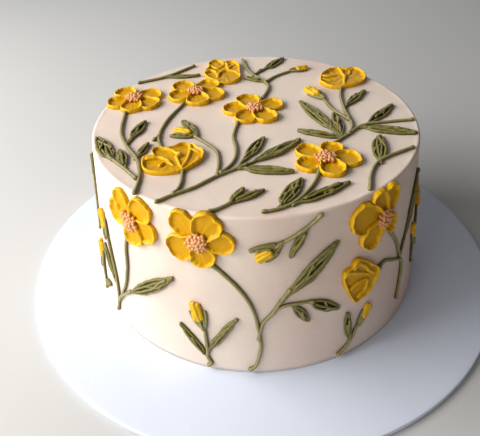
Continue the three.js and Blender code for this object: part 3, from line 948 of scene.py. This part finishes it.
@dataclass(frozen=True)
class CakeBoard:
    """The thin round board, with a softly broken edge."""

    radius: float = 152.5
    thickness: float = 3.0
    edge: float = 0.5
    around: int = 360

    def build(self, material: bpy.types.Material) -> None:
        """Makes the board.

        Args:
            material: The board's finish.
        """
        r, t, e = self.radius, self.thickness, self.edge
        profile = [(20, 0), (70, 0), (120, 0), (r - e, 0), (r - 0.3 * e, 0.15 * e), (r, e), (r, t / 2),
                   (r, t - e),
                   (r - 0.3 * e, t - 0.15 * e), (r - e, t), (r - 3, t), (140, t), (120, t), (95, t), (60, t),
                   (20, t)]
        turn = 2 * math.pi * np.arange(self.around) / self.around
        rows = [np.column_stack([reach * np.cos(turn), reach * np.sin(turn),
                                 np.full(self.around, z)]) for reach, z in profile]
        points = np.vstack([*rows, [[0, 0, 0], [0, 0, t]]]) * MM
        piece = solid("cake_board", points, ring_faces(len(rows), self.around, closed=True), material)
        place(piece, "board", "board")


@dataclass(frozen=True)
class Studio:
    """The floor, the soft lights and the camera."""

    eye: tuple[float, float, float] = (-2.8, -351.3, 304.0)
    yaw: float = -0.0271
    pitch: float = 0.5325
    roll: float = -0.0289
    lens: float = 48.91
    shift: float = -0.1625

    def set_camera(self) -> None:
        """Puts the camera where the photograph was taken from."""
        ahead = Vector((math.sin(self.yaw) * math.cos(self.pitch), math.cos(self.yaw) * math.cos(self.pitch),
                        -math.sin(self.pitch)))
        level = Vector((math.cos(self.yaw), -math.sin(self.yaw), 0))
        upright = level.cross(ahead)
        right = math.cos(self.roll) * level + math.sin(self.roll) * upright
        up = -math.sin(self.roll) * level + math.cos(self.roll) * upright
        data = bpy.data.cameras.new("camera")
        data.lens = self.lens
        data.sensor_width = SENSOR_WIDTH
        data.sensor_fit = "HORIZONTAL"
        data.shift_y = self.shift
        data.clip_start = 0.01
        camera = bpy.data.objects.new("camera", data)
        turn = Matrix((right, up, -ahead)).transposed().to_4x4()
        camera.matrix_world = Matrix.Translation(Vector(self.eye) * MM) @ turn
        bpy.context.scene.collection.objects.link(camera)
        bpy.context.scene.camera = camera

    def light(self, name: str, spot: Sequence[float], size: Spot, power: float, colour: Colour) -> None:
        """Adds one soft light that faces the cake.

        Args:
            name: The light's name.
            spot: Where it hangs, in metres.
            size: Its width and height in metres.
            power: Its power in watts.
            colour: Its colour.
        """
        data = bpy.data.lights.new(name, "AREA")
        data.shape = "RECTANGLE"
        data.size, data.size_y, data.energy, data.color = *size, power, colour
        lamp = bpy.data.objects.new(name, data)
        lamp.location = spot
        lamp.rotation_euler = (Vector((0, 0, 0.06)) - Vector(spot)).to_track_quat("-Z", "Y").to_euler()
        bpy.context.scene.collection.objects.link(lamp)

    def build(self, finish: bpy.types.Material) -> None:
        """Makes the floor, the lights and the sky.

        Args:
            finish: The floor's finish.
        """
        points = np.array([[-4, -4, 0], [4, -4, 0], [4, 4, 0], [-4, 4, 0]], dtype=float) - [0, 0, 0.0002]
        floor = solid("floor", points, [(0, 1, 2, 3)], finish)
        self.light("window", (-0.78, -0.10, 0.54), (0.9, 0.5), 14.0, (1.0, 0.965, 0.925))
        self.light("door", (-0.50, -0.72, 0.34), (0.5, 0.4), 2.6, (1.0, 0.955, 0.89))
        self.light("room", (0.95, -0.45, 0.12), (0.8, 0.3), 0.36, (1.0, 0.58, 0.46))
        self.light("hall", (0.0, 0.95, 0.45), (0.7, 0.5), 1.0, (0.92, 0.96, 1.0))
        world = bpy.data.worlds.new("sky")
        world.use_nodes = True
        sky = world.node_tree.nodes["Background"]
        sky.inputs["Color"].default_value = (1.0, 0.957, 0.92, 1)
        sky.inputs["Strength"].default_value = 0.115
        bpy.context.scene.world = world
        bpy.context.scene.view_settings.view_transform = "Standard"


TOP, WALL = Face.TOP, Face.WALL

FLOWERS = Flowers((
    Flower("top_1", TOP, (-80, 30), [(125, 18.5), (27, 19), (-151, 18), (-34, 19.5), (-90, 18.5)]),
    Flower("top_2", TOP, (-39.5, 39), [(138, 19.5), (50, 20), (-20, 20), (-149, 19), (-80, 19.5)]),
    Flower("top_3", TOP, (0, 13), [(177, 20, 8), (26, 20, 7.5), (109, 19.5, 8.5), (-118, 19.5, 7.5), (-57,
         19.5, 8)]),
    Flower("top_4", TOP, (-20, 64), (), curls=[[(-33, 80.5), (-29, 77.5), (-25, 76.5), (-22.5, 83), (-24,
         87)], [(-20.5, 84), (-19, 77), (-18.5, 72.5), (-17.5, 79), (-14, 82)], [(-25.5, 61.5), (-25, 68),
         (-21.5, 72), (-17, 71.5), (-12.5, 68.5), (-10.5, 64)], [(-34.5, 69.5), (-31.5, 72), (-28, 70), (-26,
         65)]], edge=[(-35.5, 71.5), (-35.5, 66), (-33, 59.5), (-28.5, 55), (-24, 51.5), (-18, 51), (-13,
         53.5), (-9.5, 58.5), (-9.5, 65), (-10, 74), (-11, 81.5), (-14, 87), (-18, 88), (-22.5, 86.5), (-25.5,
         90), (-29.5, 90), (-33.5, 85), (-33, 78)]),
    Flower("top_5", TOP, (-40, -55), (), curls=[[(-61, -45.5), (-58, -45), (-54, -45), (-49.5, -47.5), (-47,
         -51)], [(-53, -53), (-51, -50), (-48.5, -50), (-46, -52.5)], [(-51.5, -35), (-47, -37.5), (-45,
         -41)], [(-37.5, -32), (-37.5, -37), (-37.5, -42), (-38.5, -48), (-40.5, -54.5)], [(-45.5, -39.5),
         (-43, -41.5), (-44.5, -44.5), (-43, -48.5), (-41, -54)], [(-37, -36.5), (-32.5, -38.5)], [(-30,
         -43.5), (-32.5, -47), (-35, -51.5)]], edge=[(-64, -45.5), (-63, -54), (-59, -59.5), (-51.5, -61),
         (-44, -60), (-39, -57.5), (-33.5, -52.5), (-29.5, -46.5), (-29, -40), (-31.5, -35.5), (-37, -30),
         (-42.5, -29.5), (-47, -32.5), (-52, -33.5), (-57, -34), (-59.5, -38), (-58.5, -43), (-61.5, -44)]),
    Flower("top_6", TOP, (61.5, 45), (), curls=[[(60.5, 72), (62, 64.5), (63, 59.5), (66.5, 62.5), (68, 68.5),
         (70, 71)], [(48, 59.5), (53, 59.5), (57.5, 61)], [(47, 54.5), (52.5, 52.5)], [(63, 59), (62, 53),
         (61.5, 46.5)]], edge=[(45.5, 56), (45, 50.5), (47.5, 46), (51.5, 42.5), (57, 41.5), (62, 42.5), (69,
         45.5), (75, 50.5), (78, 57.5), (77.5, 64), (75.5, 69.5), (71, 72.5), (66, 71.5), (60.5, 73.5), (54.5,
         72), (49.5, 67), (46.5, 61)]),
    Flower("top_7", TOP, (39, -47.5), [(66, 17.5), (-2, 20), (-150, 18), (140, 18.5), (-75, 18)]),
    Flower("side_1", WALL, (-72.5, 86.5), [(174, 19, 8), (126, 19.5, 6.5), (50, 20, 8), (-12, 18, 7), (-80,
         15, 7.5)]),
    Flower("side_2", WALL, (-30, 89), [(131, 20, 7), (4, 19.5, 6.5), (-150, 18.5, 8.5), (62, 19, 8.5), (-75,
         15.5, 7.5)]),
    Flower("side_3", WALL, (72.5, 86.5), [(60, 20, 7), (104, 19, 6.5), (-45, 13.5, 6), (157, 23.5, 9.5),
         (-138, 19, 7.5)]),
    Flower("side_4", WALL, (68, 52.5), (), curls=[[(49.5, 49), (53.5, 51), (58, 52), (61.5, 51.5)], [(56,
         41.5), (61, 44.5), (62.5, 49.5)], [(53, 62.5), (55.5, 64.5), (60, 61), (63.5, 56), (67, 52.5)],
         [(47.5, 61.5), (54.5, 59), (64, 53.5)]], edge=[(46, 60), (47, 52.5), (49.5, 46.5), (54.5, 37.5),
         (59.5, 39), (64, 41.5), (68.5, 47), (71.5, 53), (66, 60), (61, 64.5), (56, 68), (52.5, 67), (51.5,
         64), (48, 63)]),
    Flower("side_5", WALL, (158, 57), [(108, 14), (36, 17), (-36, 16), (-108, 14), (180, 21, 6.5)]),
    Flower("side_6", WALL, (199, 76), [(150, 19), (80, 18), (8, 19), (-64, 18), (-136, 18)]),
    Flower("side_7", WALL, (264, 84), [(128, 18), (52, 18), (-16, 19), (-84, 17), (-160, 18)]),
    Flower("side_8", WALL, (-228.5, 79), (), [((-228.5, 70), 160, 18, 6), ((-227.5, 70), 22, 18, 6), ((-228.5,
         70), 128, 24, 7.5), ((-228.5, 70), 55, 24, 7.5), ((-228.5, 70), 92, 26, 7)],
         [[(-236, 84), (-232, 88), (-228, 82)], [(-222, 84), (-226, 78)]]),
))

SPRAYS = (
    Spray("top_a", TOP, [[(-63.5, -78), (-63, -63), (-67, -45), (-76.5, -27.5), (-81.5, -11.5), (-83, 16)],
         [(-65, -64), (-73.5, -53), (-83.5, -42)]], [((-75.5, -28), (-68.5, -0.5), 7.5, 0.32), ((-68, -45),
         (-63, -28), 6, 0.25), ((-80.5, -45), (-94.5, -19), 10), ((-72, -54.5), (-78.5, -35), 6, 0.2)]),
    Spray("top_b", TOP, [[(-54, -35), (-57.5, -19.5), (-54.5, 0.5), (-46.5, 22.5)], [(-57.5, -19.5), (-60,
         -23.5)]]),
    Spray("top_c", TOP, [[(-51, -86), (-43, -80), (-32, -73), (-21, -63), (-5, -52)], [(-43, -79.5), (-40,
         -71), (-40, -54.5)], [(-21, -62.5), (-20.5, -49.5), (-22.5, -37), (-29.5, -27.5), (-35.5, -21)],
         [(-19, -60.5), (-12.5, -49), (-11, -36), (-13, -20), (-10, -0.5)]],
         [((-10.5, -55.5), (5, -23), 7.5, 0.35), ((-7, -53.5), (27, -25), 8, 0.2), ((-9.5, -55.5), (20.5,
         -60), 8, 0.12)], Bud((-34, -20), (-49, -11), 6.5, ()),
         [((-34.5, -19.5), (-50.5, -19), 5.5), ((-34.5, -19), (-44.5, -1.5), 6.5)]),
    Spray("top_d", TOP, [[(5.5, 29.5), (9.5, 44), (7, 54), (-3, 70), (-8.5, 92)], [(7.5, 53), (16, 63.5), (28,
         72)], [(-0.5, 64.5), (4.5, 72.5)]], [((3.5, 70.5), (21.5, 93.5), 7.5, 0.25), ((6.5, 54), (-6.5,
         60.5), 5.5)], Bud((26, 71), (38.5, 76), 6.5, (0.75, 0.6))),
    Spray("top_e", TOP, [[(-80.5, 55.5), (-62, 65), (-44, 82.5)]],
         [((-63, 64), (-39, 66), 5.5)]),
    Spray("top_f", TOP, [[(59.5, 48), (56.5, 28.5), (57, 9.5), (59, -7), (56, -18.5), (45, -31)], [(58, -2.5),
         (49.5, 11.5), (44.5, 28)], [(55.5, -20), (61, -13.5), (69.5, -8), (96.5, -3.5)]],
         [((56.5, 13), (73, 37), 6.5, 0.15), ((51.5, -23.5), (29.5, 23), 8.5, 0.2), ((51.5, -24), (25.5, -15),
         6.5), ((52, -23.5), (49.5, 5.5), 7, 0.2), ((66, -10.5), (88.5, 17), 7.5, 0.2), ((62.5, -11.5), (96,
         -20), 8.5, 0.12)], Bud((45, 26.5), (35.5, 41), 8.8, (0.62, 0.62))),
    Spray("top_g", TOP, [[(59, -77), (62, -63), (67.5, -51.5), (76.5, -44), (90, -36)]],
         [((68.5, -52.5), (73, -22.5), 9)]),
    Spray("top_h", TOP, [[(35, -55), (32, -68), (26, -79.5), (18, -89), (10.5, -93.5), (3.5, -95.5)]],
         [((11, -93.5), (24.5, -66.5), 8.5, 0.15), ((18, -90.5), (49.5, -70), 7.5, 0.12)]),
    Spray("top_i", TOP, [[(-23.5, -95), (-17.5, -91.5), (-12.5, -87)]],
         [((-13.5, -88), (4, -76.5), 5.5), ((-13.5, -88.5), (-6.5, -75.5), 5)]),
    Spray("side_a", WALL, [[(-77.5, 74), (-80, 64), (-80.5, 51), (-83.5, 36), (-89.5, 23), (-94.5, 14)],
         [(-103.5, 59), (-99, 46), (-95.5, 33), (-94.5, 19), (-96.5, 6)], [(-91.5, 19), (-85.5, 26), (-79.5,
         32)]], [((-96, 28), (-111.5, 46), 5), ((-82.5, 29), (-45.5, 59.5), 8.5, 0.15)],
         Bud((-103.5, 56.5), (-111, 73), 6.5, (0.62, 0.55), 1.1)),
    Spray("side_b", WALL, [[(-22.5, 75), (-14.5, 67), (-6.5, 56), (-1.5, 43), (1, 26), (1, 16), (-1.5, 6),
         (-4.5, 3)], [(0.5, 26), (2.5, 37), (7.5, 44), (11.5, 51), (16.5, 59)], [(7.5, 44), (10.5, 47), (17,
         49), (29, 48.5)]], [((11.5, 51), (42.5, 84.5), 9, 0.2), ((27, 49), (44, 38.5), 7.5, 0.1), ((18, 49),
         (26.5, 35.5), 6, 0.1)]),
    Spray("side_c", WALL, [[(-27, 3), (-25.5, 5), (-27.5, 9), (-27.5, 15), (-29, 33)]],
         [((-27, 8), (-42.5, 28.5), 5.2), ((-27.5, 12), (-11, 40), 5.2)],
         Bud((-29, 30), (-34.5, 48), 7, (0.6, 0.62), 1.3)),
    Spray("side_d", WALL, [[(32.5, 103.5), (26, 98), (19, 93.5), (10, 88.5)]],
         [((26, 98), (17, 81), 5, 0.15)], Bud((10.5, 88.5), (-0.5, 80), 7, ()),
         [((13, 90.5), (-3.5, 86), 4), ((13, 90.5), (5, 79), 4.5)]),
    Spray("side_e", WALL, [[(80, 73.5), (87.5, 62), (93.5, 47.5), (97, 37), (93, 15.5)], [(69, 50.5), (76,
         54.5), (84, 50.5), (94, 44.5)]], [((93.5, 47), (119, 92), 6.5, 0.35)]),
    Spray("side_f", WALL, [[(45, 3), (50.5, 7.5), (53.5, 11.5), (58.5, 21.5)]],
         [((52.5, 9.5), (50, 31.5), 5)], Bud((58, 19.5), (66, 31), 5.5)),
    Spray("side_g", WALL, [[(150, 52), (140, 52), (131, 51), (124, 47), (121, 41), (118, 35), (119, 24)]], (),
         Bud((119.5, 38.5), (115.5, 56), 5.5, (0.5, 0.5))),
    Spray("side_h", WALL, [[(-141, 90), (-140, 66), (-141, 36)]],
         [((-140.5, 76), (-140, 93), 4.5)]),
    Spray("side_i", WALL, [[(-123.5, 21), (-122, 13), (-120, 4)]],
         [((-120, 9), (-107, 17), 5)], Bud((-123.5, 20), (-125.5, 39), 6)),
    Spray("side_j", WALL, [[(158, 3), (159, 15), (156, 29)]],
         [((159, 9), (171, 23), 5.5), ((159, 12), (146, 26), 5.5), ((156.3, 26), (154, 38), 5)]),
    Spray("side_k", WALL, [[(202, 3), (199, 25.5), (195, 45.5), (197, 69)], [(199, 23.5), (211, 39.5), (222.5,
         49.5)]], [((196.5, 35), (175.5, 49.5), 8), ((209, 37.5), (216, 63), 7), ((200, 9), (220.5, 17), 7),
         ((220.5, 48), (234.5, 61), 7)]),
    Spray("side_l", WALL, [[(251, 3), (257, 27.5), (266, 51.5), (265, 79)], [(257, 27.5), (246.5, 43.5),
         (243.5, 59)]], [((244, 54), (237.5, 81), 7.5), ((261, 39.5), (284.5, 56), 8), ((253, 14), (272,
         23.5), 7), ((248.5, 40.5), (232.5, 45.5), 6)]),
    Spray("side_m", WALL, [[(-258, 3), (-252, 25.5), (-239.5, 49.5), (-229.5, 75)], [(-252, 23.5), (-268,
         41.5), (-273, 57)]], [((-272, 52.5), (-282, 79), 7.5), ((-248.5, 33.5), (-224.5, 43.5), 7.5),
         ((-254.5, 11), (-278, 21.5), 7)]),
    Spray("side_n", WALL, [[(-179.5, 3), (-175.5, 29.5), (-179.5, 57), (-174.5, 83)]],
         [((-176.5, 21.5), (-155.5, 41.5), 8), ((-176.5, 37.5), (-196, 56), 7.5), ((-180.5, 55.5), (-160.5,
         75), 7), ((-175.5, 79), (-172.5, 100.5), 6)]),
)


def main() -> None:
    """Builds the studio, the board, the cake and its piping."""
    logging.basicConfig(level=logging.INFO, format="%(name)s: %(message)s")
    studio = Studio()
    studio.set_camera()
    studio.build(FloorFinish().material())
    CakeBoard().build(BoardFinish().material())
    IcedCake().build(IcingFinish().material())
    petal, centre, green = PETAL.material(), CENTRE.material(), GREEN.material()
    FLOWERS.dress(petal, centre)
    for spray in SPRAYS:
        spray.dress(FLOWERS, green, petal)


if __name__ == "__main__":
    main()
